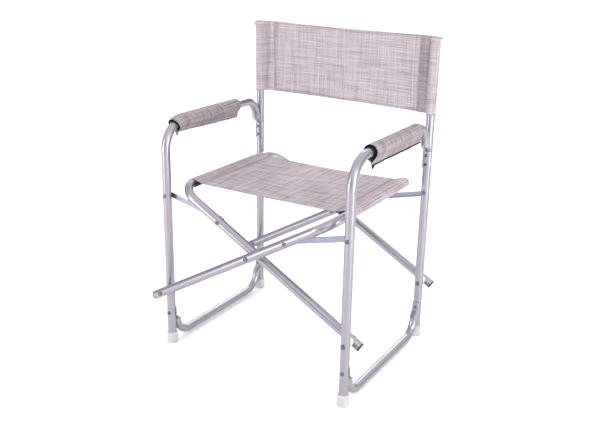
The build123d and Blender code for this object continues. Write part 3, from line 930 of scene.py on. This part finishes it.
    @staticmethod
    def edging(side, grid, path, below, skin):
        """Black strip between the cover's edges. It hangs below them, and as a flap at the front end."""
        rows = []
        for c, (_, _, before, _) in enumerate(path[:-5]):
            low = (Vector(grid[0, c]) + Vector(grid[-1, c])) / 2
            root = (Vector(grid[3, c]) + Vector(grid[-4, c])) / 2
            down = (low - root).normalized()
            out = Vector(grid[0, c] - grid[-1, c]).normalized() * 0.0009
            flap = 0.006 * min(1.0, max(0.0, 1.6 * (1 - before / 0.013)))
            hang = below + flap + 0.0006 * ripple(before, 0.0, 0.012, 4.0)
            start = low - down * 0.004
            end = low + down * hang
            rows.append([start + out, low + out, end + out * 0.8, end - out * 0.8, low - out, start - out])
        verts = [point for row in rows for point in row]
        faces = grid_faces(len(rows), 6, closed=True)
        faces.append(tuple(range(6)))
        faces.append(tuple(reversed([(len(rows) - 1) * 6 + k for k in range(6)])))
        piece = new_piece(f"arm_edging_{side}", verts, faces, smooth=False)
        piece.data.materials.append(skin)
        return piece


# ---- Metal and plastic ------------------------------------------------------
def paint(node, material):
    """Gives a frame node its finish."""
    mesh = frame["nodes"][node].data
    if not mesh.materials:
        mesh.materials.append(material)
    for k in range(len(mesh.materials)):
        mesh.materials[k] = material
    mesh.polygons.foreach_set("material_index", [0] * len(mesh.polygons))


def soften(node):
    """Smooth shading on a frame node, with its corners kept sharp."""
    mesh = frame["nodes"][node].data
    mesh.polygons.foreach_set("use_smooth", [True] * len(mesh.polygons))
    mesh.set_sharp_from_angle(angle=math.radians(CORNER_ANGLE))


class CHAIR_OT_metal(bpy.types.Operator):
    """Finish the tubes, links and rivets"""
    bl_idname = "camp_chair.metal"
    bl_label = "Metal"

    def execute(self, context):
        upright_grain = (0.0, 0.0, 0.0)
        level_grain = (math.radians(90), 0.0, 0.0)
        centre, lower = joint_point("centre_pivot"), joint_point("fold")
        slope = math.atan2(lower.x - centre.x, centre.z - lower.z)
        arm_skin = tube_finish("arm_tube", [upright_grain, level_grain])
        post_skin = tube_finish("upright_tube", [upright_grain])
        base_skin = tube_finish("base_tube", [upright_grain, level_grain])
        zinc, rivet = zinc_finish(), rivet_finish()
        for side, sign in SIDES.items():
            cross_skin = tube_finish(f"seat_tube_{side}", [(0.0, -sign * slope, 0.0)])
            paint(f"{side}_arm_tube", arm_skin)
            paint(f"{side}_back_upright", post_skin)
            paint(f"{side}_base_tube", base_skin)
            paint(f"{side}_seat_frame", cross_skin)
            for end in ("front", "rear"):
                paint(f"{end}_{side}_link", zinc)
            for group in ("frame_rivets", "link_pins", "link_studs", "pivot_rivets"):
                paint(f"{side}_{group}", rivet)
        paint("centre_rivets", rivet)
        return {"FINISHED"}


class CHAIR_OT_plastic(bpy.types.Operator):
    """Finish the feet, plugs and spacers"""
    bl_idname = "camp_chair.plastic"
    bl_label = "Plastic"

    def execute(self, context):
        feet = moulded("foot_plastic", colours().foot, 0.32, 600, gloss=0.2, dust=0.5, soft=0.15)
        black = moulded("black_plastic", (0.016, 0.016, 0.018), 0.4, 900, gloss=0.15)
        nylon = moulded("nylon", colours().nylon, 0.42, 700, soft=0.2)
        for side in SIDES:
            paint(f"{side}_front_foot", feet)
            paint(f"{side}_rear_foot", feet)
            paint(f"{side}_upright_plug", black)
            paint(f"{side}_tail_plugs", black)
            paint(f"{side}_leg_spacers", nylon)
            paint(f"{side}_seat_frame_spacers", nylon)
        for name in frame["nodes"]:
            soften(name)
        return {"FINISHED"}


# ---- Studio -----------------------------------------------------------------
class CHAIR_OT_studio(bpy.types.Operator):
    """Set the floor, the soft boxes and the camera"""
    bl_idname = "camp_chair.studio"
    bl_label = "Studio"

    def execute(self, context):
        studio = context.scene.chair_studio
        self.floor(studio)
        self.sky()
        context.scene.view_settings.view_transform = "Standard"
        over = (0.0, CEILING_HEIGHT, CEILING_HEIGHT)
        self.soft_box("ceiling", over, (0, CEILING_HEIGHT, 0), CEILING_SIZE, studio.ceiling)
        for name, place, size, power in SOFT_BOXES:
            self.soft_box(name, place, LIGHTS_AIM, size, getattr(studio, power))
        self.camera(context, studio)
        return {"FINISHED"}

    @staticmethod
    def floor(studio):
        steps = 9
        line = np.linspace(-FLOOR_REACH, FLOOR_REACH, steps)
        verts = [(x, y, 0.0) for y in line for x in line]
        floor = new_piece("studio_floor", verts, grid_faces(steps, steps))
        g = Graph("studio_floor")
        drift = g.cloud(g.place(scale=(2, 2, 2)), detail=4.0)
        colour = g.mix(drift, rgba(studio.floor, 0.985), rgba(studio.floor, 1.01))
        floor.data.materials.append(g.finish({"Base Color": colour, "Roughness": 0.75 + 0.1 * drift}))

    @staticmethod
    def sky():
        world = bpy.data.worlds.new("studio")
        world.use_nodes = True
        bpy.context.scene.world = world
        shade = world.node_tree.nodes["Background"]
        shade.inputs["Color"].default_value = SKY_COLOUR
        shade.inputs["Strength"].default_value = SKY_STRENGTH

    @staticmethod
    def soft_box(name, place, target, size, power):
        data = bpy.data.lights.new(name, "AREA")
        data.energy = power
        data.shape = "RECTANGLE"
        data.size, data.size_y = size
        lamp = bpy.data.objects.new(name, data)
        lamp.location = place
        lamp.rotation_euler = (Vector(target) - Vector(place)).to_track_quat("-Z", "Y").to_euler()
        bpy.context.scene.collection.objects.link(lamp)

    @staticmethod
    def camera(context, studio):
        azimuth, elevation = math.radians(CAMERA_AZIMUTH), math.radians(CAMERA_ELEVATION)
        data = bpy.data.cameras.new("camera")
        data.lens = studio.lens
        data.sensor_width = 36.0
        camera = bpy.data.objects.new("camera", data)
        turn = Matrix.Rotation(azimuth, 4, "Z") @ Matrix.Rotation(math.pi / 2 - elevation, 4, "X")
        roll = Matrix.Rotation(math.radians(CAMERA_ROLL), 4, "Z")
        camera.matrix_world = Matrix.Translation(CAMERA_PLACE) @ turn @ roll
        context.scene.collection.objects.link(camera)
        context.scene.camera = camera


class CHAIR_PT_panel(bpy.types.Panel):
    """The settings, and a button for each step"""
    bl_idname = "CHAIR_PT_panel"
    bl_label = "Camp Chair"
    bl_space_type = "VIEW_3D"
    bl_region_type = "UI"
    bl_category = "Camp Chair"

    def draw(self, context):
        for group in (context.scene.chair_sizes, context.scene.chair_colours, context.scene.chair_studio):
            box = self.layout.box()
            for name in group.__annotations__:
                box.prop(group, name)
        for operator in OPERATORS:
            self.layout.operator(operator.bl_idname)


OPERATORS = (CHAIR_OT_studio, CHAIR_OT_metal, CHAIR_OT_plastic, CHAIR_OT_seat, CHAIR_OT_back, CHAIR_OT_arms)
CLASSES = (ChairSizes, ChairColours, StudioSettings, *OPERATORS, CHAIR_PT_panel)


def register():
    for found in CLASSES:
        bpy.utils.register_class(found)
    bpy.types.Scene.chair_sizes = PointerProperty(type=ChairSizes)
    bpy.types.Scene.chair_colours = PointerProperty(type=ChairColours)
    bpy.types.Scene.chair_studio = PointerProperty(type=StudioSettings)


def unregister():
    del bpy.types.Scene.chair_studio
    del bpy.types.Scene.chair_colours
    del bpy.types.Scene.chair_sizes
    for found in reversed(CLASSES):
        bpy.utils.unregister_class(found)


def main():
    register()
    for operator in OPERATORS:
        area, name = operator.bl_idname.split(".")
        getattr(getattr(bpy.ops, area), name)()


if __name__ == "__main__":
    main()
